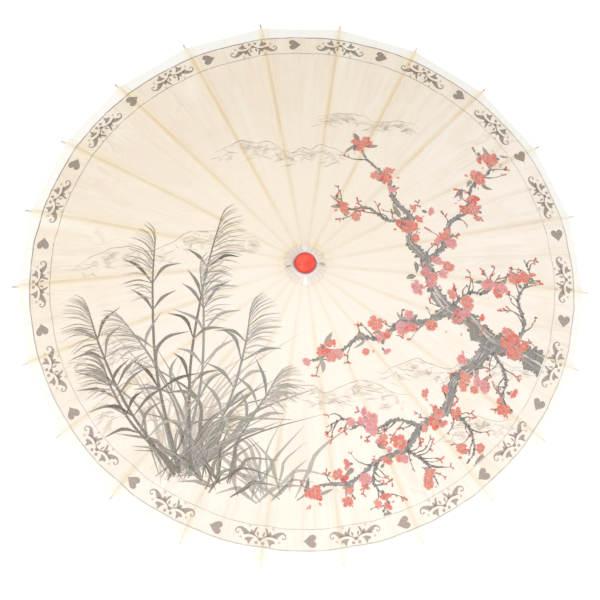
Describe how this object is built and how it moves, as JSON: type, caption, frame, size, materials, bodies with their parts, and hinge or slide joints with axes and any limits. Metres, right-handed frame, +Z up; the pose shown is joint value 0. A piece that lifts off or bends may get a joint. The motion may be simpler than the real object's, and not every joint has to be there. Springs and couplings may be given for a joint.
{
  "type": "oil paper umbrella",
  "caption": "Round oiled-paper umbrella on split-bamboo ribs and stretchers that hinge on wire rings in a wooden head and sliding runner, with a red cap and a turned handle.",
  "frame": {"origin": "middle of the straight grip of the handle, on the shaft's axis", "axes": "+Z up the shaft towards the cap; +X along rib_01 of the open canopy"},
  "size_m": [0.8406, 0.8324, 0.5382],
  "materials": {
    "oiled_paper": "oiled, matt",
    "gathered_film": "oiled, thin",
    "cap_lacquer": "red lacquer",
    "turned_wood": "turned, bare",
    "shaft_wood": "sanded, thin varnish",
    "handle_wood": "stained and varnished",
    "bamboo": "split and scraped",
    "wire": "drawn"
  },
  "bodies": {
    "frame": {"shaft": "shaft_wood", "stop_pin": "wire", "catch_pin": "wire", "head": "turned_wood", "head_ring": "wire", "cap": "cap_lacquer", "collar": "gathered_film", "canopy": "oiled_paper", "handle": "handle_wood"},
    "rib_01": {"rib_01": "bamboo"},
    "stretcher_01": {"stretcher_01": "bamboo"},
    "rib_02": {"rib_02": "bamboo"},
    "stretcher_02": {"stretcher_02": "bamboo"},
    "rib_03": {"rib_03": "bamboo"},
    "stretcher_03": {"stretcher_03": "bamboo"},
    "rib_04": {"rib_04": "bamboo"},
    "stretcher_04": {"stretcher_04": "bamboo"},
    "rib_05": {"rib_05": "bamboo"},
    "stretcher_05": {"stretcher_05": "bamboo"},
    "rib_06": {"rib_06": "bamboo"},
    "stretcher_06": {"stretcher_06": "bamboo"},
    "rib_07": {"rib_07": "bamboo"},
    "stretcher_07": {"stretcher_07": "bamboo"},
    "rib_08": {"rib_08": "bamboo"},
    "stretcher_08": {"stretcher_08": "bamboo"},
    "rib_09": {"rib_09": "bamboo"},
    "stretcher_09": {"stretcher_09": "bamboo"},
    "rib_10": {"rib_10": "bamboo"},
    "stretcher_10": {"stretcher_10": "bamboo"},
    "rib_11": {"rib_11": "bamboo"},
    "stretcher_11": {"stretcher_11": "bamboo"},
    "rib_12": {"rib_12": "bamboo"},
    "stretcher_12": {"stretcher_12": "bamboo"},
    "rib_13": {"rib_13": "bamboo"},
    "stretcher_13": {"stretcher_13": "bamboo"},
    "rib_14": {"rib_14": "bamboo"},
    "stretcher_14": {"stretcher_14": "bamboo"},
    "rib_15": {"rib_15": "bamboo"},
    "stretcher_15": {"stretcher_15": "bamboo"},
    "rib_16": {"rib_16": "bamboo"},
    "stretcher_16": {"stretcher_16": "bamboo"},
    "rib_17": {"rib_17": "bamboo"},
    "stretcher_17": {"stretcher_17": "bamboo"},
    "rib_18": {"rib_18": "bamboo"},
    "stretcher_18": {"stretcher_18": "bamboo"},
    "rib_19": {"rib_19": "bamboo"},
    "stretcher_19": {"stretcher_19": "bamboo"},
    "rib_20": {"rib_20": "bamboo"},
    "stretcher_20": {"stretcher_20": "bamboo"},
    "rib_21": {"rib_21": "bamboo"},
    "stretcher_21": {"stretcher_21": "bamboo"},
    "rib_22": {"rib_22": "bamboo"},
    "stretcher_22": {"stretcher_22": "bamboo"},
    "runner": {"runner": "turned_wood", "runner_ring": "wire"},
    "catch": {"spring_catch": "bamboo"}
  },
  "joints": [
    {"name": "canopy_fold", "type": "hinge", "parent": "frame", "child": "rib_01", "pos_m": [0.016, 0, 0.465], "axis": [0, 1, 0], "range_deg": [0, 72], "deforming": ["canopy", "spring_catch"]},
    {"name": "stretcher_01_hinge", "type": "hinge", "parent": "rib_01", "child": "stretcher_01", "pos_m": [0.18289, 0, 0.42339], "axis": [0, 1, 0], "range_deg": [-144, 0]},
    {"name": "rib_02_hinge", "type": "hinge", "parent": "frame", "child": "rib_02", "pos_m": [0.01535, 0.00451, 0.465], "axis": [-0.2817, 0.9595, 0], "range_deg": [0, 72]},
    {"name": "stretcher_02_hinge", "type": "hinge", "parent": "rib_02", "child": "stretcher_02", "pos_m": [0.17548, 0.05153, 0.42339], "axis": [-0.2817, 0.9595, 0], "range_deg": [-144, 0]},
    {"name": "rib_03_hinge", "type": "hinge", "parent": "frame", "child": "rib_03", "pos_m": [0.01346, 0.00865, 0.465], "axis": [-0.5406, 0.8413, 0], "range_deg": [0, 72]},
    {"name": "stretcher_03_hinge", "type": "hinge", "parent": "rib_03", "child": "stretcher_03", "pos_m": [0.15386, 0.09888, 0.42339], "axis": [-0.5406, 0.8413, 0], "range_deg": [-144, 0]},
    {"name": "rib_04_hinge", "type": "hinge", "parent": "frame", "child": "rib_04", "pos_m": [0.01048, 0.01209, 0.465], "axis": [-0.7557, 0.6549, 0], "range_deg": [0, 72]},
    {"name": "stretcher_04_hinge", "type": "hinge", "parent": "rib_04", "child": "stretcher_04", "pos_m": [0.11977, 0.13822, 0.42339], "axis": [-0.7557, 0.6549, 0], "range_deg": [-144, 0]},
    {"name": "rib_05_hinge", "type": "hinge", "parent": "frame", "child": "rib_05", "pos_m": [0.00665, 0.01455, 0.465], "axis": [-0.9096, 0.4154, 0], "range_deg": [0, 72]},
    {"name": "stretcher_05_hinge", "type": "hinge", "parent": "rib_05", "child": "stretcher_05", "pos_m": [0.07598, 0.16636, 0.42339], "axis": [-0.9096, 0.4154, 0], "range_deg": [-144, 0]},
    {"name": "rib_06_hinge", "type": "hinge", "parent": "frame", "child": "rib_06", "pos_m": [0.00228, 0.01584, 0.465], "axis": [-0.9898, 0.1423, 0], "range_deg": [0, 72]},
    {"name": "stretcher_06_hinge", "type": "hinge", "parent": "rib_06", "child": "stretcher_06", "pos_m": [0.02603, 0.18103, 0.42339], "axis": [-0.9898, 0.1423, 0], "range_deg": [-144, 0]},
    {"name": "rib_07_hinge", "type": "hinge", "parent": "frame", "child": "rib_07", "pos_m": [-0.00228, 0.01584, 0.465], "axis": [-0.9898, -0.1423, 0], "range_deg": [0, 72]},
    {"name": "stretcher_07_hinge", "type": "hinge", "parent": "rib_07", "child": "stretcher_07", "pos_m": [-0.02603, 0.18103, 0.42339], "axis": [-0.9898, -0.1423, 0], "range_deg": [-144, 0]},
    {"name": "rib_08_hinge", "type": "hinge", "parent": "frame", "child": "rib_08", "pos_m": [-0.00665, 0.01455, 0.465], "axis": [-0.9096, -0.4154, 0], "range_deg": [0, 72]},
    {"name": "stretcher_08_hinge", "type": "hinge", "parent": "rib_08", "child": "stretcher_08", "pos_m": [-0.07598, 0.16636, 0.42339], "axis": [-0.9096, -0.4154, 0], "range_deg": [-144, 0]},
    {"name": "rib_09_hinge", "type": "hinge", "parent": "frame", "child": "rib_09", "pos_m": [-0.01048, 0.01209, 0.465], "axis": [-0.7557, -0.6549, 0], "range_deg": [0, 72]},
    {"name": "stretcher_09_hinge", "type": "hinge", "parent": "rib_09", "child": "stretcher_09", "pos_m": [-0.11977, 0.13822, 0.42339], "axis": [-0.7557, -0.6549, 0], "range_deg": [-144, 0]},
    {"name": "rib_10_hinge", "type": "hinge", "parent": "frame", "child": "rib_10", "pos_m": [-0.01346, 0.00865, 0.465], "axis": [-0.5406, -0.8413, 0], "range_deg": [0, 72]},
    {"name": "stretcher_10_hinge", "type": "hinge", "parent": "rib_10", "child": "stretcher_10", "pos_m": [-0.15386, 0.09888, 0.42339], "axis": [-0.5406, -0.8413, 0], "range_deg": [-144, 0]},
    {"name": "rib_11_hinge", "type": "hinge", "parent": "frame", "child": "rib_11", "pos_m": [-0.01535, 0.00451, 0.465], "axis": [-0.2817, -0.9595, 0], "range_deg": [0, 72]},
    {"name": "stretcher_11_hinge", "type": "hinge", "parent": "rib_11", "child": "stretcher_11", "pos_m": [-0.17548, 0.05153, 0.42339], "axis": [-0.2817, -0.9595, 0], "range_deg": [-144, 0]},
    {"name": "rib_12_hinge", "type": "hinge", "parent": "frame", "child": "rib_12", "pos_m": [-0.016, 0, 0.465], "axis": [0, -1, 0], "range_deg": [0, 72]},
    {"name": "stretcher_12_hinge", "type": "hinge", "parent": "rib_12", "child": "stretcher_12", "pos_m": [-0.18289, 0, 0.42339], "axis": [0, -1, 0], "range_deg": [-144, 0]},
    {"name": "rib_13_hinge", "type": "hinge", "parent": "frame", "child": "rib_13", "pos_m": [-0.01535, -0.00451, 0.465], "axis": [0.2817, -0.9595, 0], "range_deg": [0, 72]},
    {"name": "stretcher_13_hinge", "type": "hinge", "parent": "rib_13", "child": "stretcher_13", "pos_m": [-0.17548, -0.05153, 0.42339], "axis": [0.2817, -0.9595, 0], "range_deg": [-144, 0]},
    {"name": "rib_14_hinge", "type": "hinge", "parent": "frame", "child": "rib_14", "pos_m": [-0.01346, -0.00865, 0.465], "axis": [0.5406, -0.8413, 0], "range_deg": [0, 72]},
    {"name": "stretcher_14_hinge", "type": "hinge", "parent": "rib_14", "child": "stretcher_14", "pos_m": [-0.15386, -0.09888, 0.42339], "axis": [0.5406, -0.8413, 0], "range_deg": [-144, 0]},
    {"name": "rib_15_hinge", "type": "hinge", "parent": "frame", "child": "rib_15", "pos_m": [-0.01048, -0.01209, 0.465], "axis": [0.7557, -0.6549, 0], "range_deg": [0, 72]},
    {"name": "stretcher_15_hinge", "type": "hinge", "parent": "rib_15", "child": "stretcher_15", "pos_m": [-0.11977, -0.13822, 0.42339], "axis": [0.7557, -0.6549, 0], "range_deg": [-144, 0]},
    {"name": "rib_16_hinge", "type": "hinge", "parent": "frame", "child": "rib_16", "pos_m": [-0.00665, -0.01455, 0.465], "axis": [0.9096, -0.4154, 0], "range_deg": [0, 72]},
    {"name": "stretcher_16_hinge", "type": "hinge", "parent": "rib_16", "child": "stretcher_16", "pos_m": [-0.07598, -0.16636, 0.42339], "axis": [0.9096, -0.4154, 0], "range_deg": [-144, 0]},
    {"name": "rib_17_hinge", "type": "hinge", "parent": "frame", "child": "rib_17", "pos_m": [-0.00228, -0.01584, 0.465], "axis": [0.9898, -0.1423, 0], "range_deg": [0, 72]},
    {"name": "stretcher_17_hinge", "type": "hinge", "parent": "rib_17", "child": "stretcher_17", "pos_m": [-0.02603, -0.18103, 0.42339], "axis": [0.9898, -0.1423, 0], "range_deg": [-144, 0]},
    {"name": "rib_18_hinge", "type": "hinge", "parent": "frame", "child": "rib_18", "pos_m": [0.00228, -0.01584, 0.465], "axis": [0.9898, 0.1423, 0], "range_deg": [0, 72]},
    {"name": "stretcher_18_hinge", "type": "hinge", "parent": "rib_18", "child": "stretcher_18", "pos_m": [0.02603, -0.18103, 0.42339], "axis": [0.9898, 0.1423, 0], "range_deg": [-144, 0]},
    {"name": "rib_19_hinge", "type": "hinge", "parent": "frame", "child": "rib_19", "pos_m": [0.00665, -0.01455, 0.465], "axis": [0.9096, 0.4154, 0], "range_deg": [0, 72]},
    {"name": "stretcher_19_hinge", "type": "hinge", "parent": "rib_19", "child": "stretcher_19", "pos_m": [0.07598, -0.16636, 0.42339], "axis": [0.9096, 0.4154, 0], "range_deg": [-144, 0]},
    {"name": "rib_20_hinge", "type": "hinge", "parent": "frame", "child": "rib_20", "pos_m": [0.01048, -0.01209, 0.465], "axis": [0.7557, 0.6549, 0], "range_deg": [0, 72]},
    {"name": "stretcher_20_hinge", "type": "hinge", "parent": "rib_20", "child": "stretcher_20", "pos_m": [0.11977, -0.13822, 0.42339], "axis": [0.7557, 0.6549, 0], "range_deg": [-144, 0]},
    {"name": "rib_21_hinge", "type": "hinge", "parent": "frame", "child": "rib_21", "pos_m": [0.01346, -0.00865, 0.465], "axis": [0.5406, 0.8413, 0], "range_deg": [0, 72]},
    {"name": "stretcher_21_hinge", "type": "hinge", "parent": "rib_21", "child": "stretcher_21", "pos_m": [0.15386, -0.09888, 0.42339], "axis": [0.5406, 0.8413, 0], "range_deg": [-144, 0]},
    {"name": "rib_22_hinge", "type": "hinge", "parent": "frame", "child": "rib_22", "pos_m": [0.01535, -0.00451, 0.465], "axis": [0.2817, 0.9595, 0], "range_deg": [0, 72]},
    {"name": "stretcher_22_hinge", "type": "hinge", "parent": "rib_22", "child": "stretcher_22", "pos_m": [0.17548, -0.05153, 0.42339], "axis": [0.2817, 0.9595, 0], "range_deg": [-144, 0]},
    {"name": "runner_hinge", "type": "hinge", "parent": "stretcher_01", "child": "runner", "pos_m": [0.016, 0, 0.38178], "axis": [0, 1, 0], "range_deg": [0, 72]},
    {"name": "catch_press", "type": "hinge", "parent": "frame", "child": "catch", "pos_m": [0.00385, 0, 0.31548], "axis": [0, -1, 0], "range_deg": [0, 6.5], "stiffness_Nm_per_rad": 0.5}
  ],
  "couplings": [
    {"joint": "stretcher_01_hinge", "follows": "canopy_fold", "ratio": -2},
    {"joint": "rib_02_hinge", "follows": "canopy_fold", "ratio": 1},
    {"joint": "stretcher_02_hinge", "follows": "canopy_fold", "ratio": -2},
    {"joint": "rib_03_hinge", "follows": "canopy_fold", "ratio": 1},
    {"joint": "stretcher_03_hinge", "follows": "canopy_fold", "ratio": -2},
    {"joint": "rib_04_hinge", "follows": "canopy_fold", "ratio": 1},
    {"joint": "stretcher_04_hinge", "follows": "canopy_fold", "ratio": -2},
    {"joint": "rib_05_hinge", "follows": "canopy_fold", "ratio": 1},
    {"joint": "stretcher_05_hinge", "follows": "canopy_fold", "ratio": -2},
    {"joint": "rib_06_hinge", "follows": "canopy_fold", "ratio": 1},
    {"joint": "stretcher_06_hinge", "follows": "canopy_fold", "ratio": -2},
    {"joint": "rib_07_hinge", "follows": "canopy_fold", "ratio": 1},
    {"joint": "stretcher_07_hinge", "follows": "canopy_fold", "ratio": -2},
    {"joint": "rib_08_hinge", "follows": "canopy_fold", "ratio": 1},
    {"joint": "stretcher_08_hinge", "follows": "canopy_fold", "ratio": -2},
    {"joint": "rib_09_hinge", "follows": "canopy_fold", "ratio": 1},
    {"joint": "stretcher_09_hinge", "follows": "canopy_fold", "ratio": -2},
    {"joint": "rib_10_hinge", "follows": "canopy_fold", "ratio": 1},
    {"joint": "stretcher_10_hinge", "follows": "canopy_fold", "ratio": -2},
    {"joint": "rib_11_hinge", "follows": "canopy_fold", "ratio": 1},
    {"joint": "stretcher_11_hinge", "follows": "canopy_fold", "ratio": -2},
    {"joint": "rib_12_hinge", "follows": "canopy_fold", "ratio": 1},
    {"joint": "stretcher_12_hinge", "follows": "canopy_fold", "ratio": -2},
    {"joint": "rib_13_hinge", "follows": "canopy_fold", "ratio": 1},
    {"joint": "stretcher_13_hinge", "follows": "canopy_fold", "ratio": -2},
    {"joint": "rib_14_hinge", "follows": "canopy_fold", "ratio": 1},
    {"joint": "stretcher_14_hinge", "follows": "canopy_fold", "ratio": -2},
    {"joint": "rib_15_hinge", "follows": "canopy_fold", "ratio": 1},
    {"joint": "stretcher_15_hinge", "follows": "canopy_fold", "ratio": -2},
    {"joint": "rib_16_hinge", "follows": "canopy_fold", "ratio": 1},
    {"joint": "stretcher_16_hinge", "follows": "canopy_fold", "ratio": -2},
    {"joint": "rib_17_hinge", "follows": "canopy_fold", "ratio": 1},
    {"joint": "stretcher_17_hinge", "follows": "canopy_fold", "ratio": -2},
    {"joint": "rib_18_hinge", "follows": "canopy_fold", "ratio": 1},
    {"joint": "stretcher_18_hinge", "follows": "canopy_fold", "ratio": -2},
    {"joint": "rib_19_hinge", "follows": "canopy_fold", "ratio": 1},
    {"joint": "stretcher_19_hinge", "follows": "canopy_fold", "ratio": -2},
    {"joint": "rib_20_hinge", "follows": "canopy_fold", "ratio": 1},
    {"joint": "stretcher_20_hinge", "follows": "canopy_fold", "ratio": -2},
    {"joint": "rib_21_hinge", "follows": "canopy_fold", "ratio": 1},
    {"joint": "stretcher_21_hinge", "follows": "canopy_fold", "ratio": -2},
    {"joint": "rib_22_hinge", "follows": "canopy_fold", "ratio": 1},
    {"joint": "stretcher_22_hinge", "follows": "canopy_fold", "ratio": -2},
    {"joint": "runner_hinge", "follows": "canopy_fold", "ratio": 1}
  ]
}
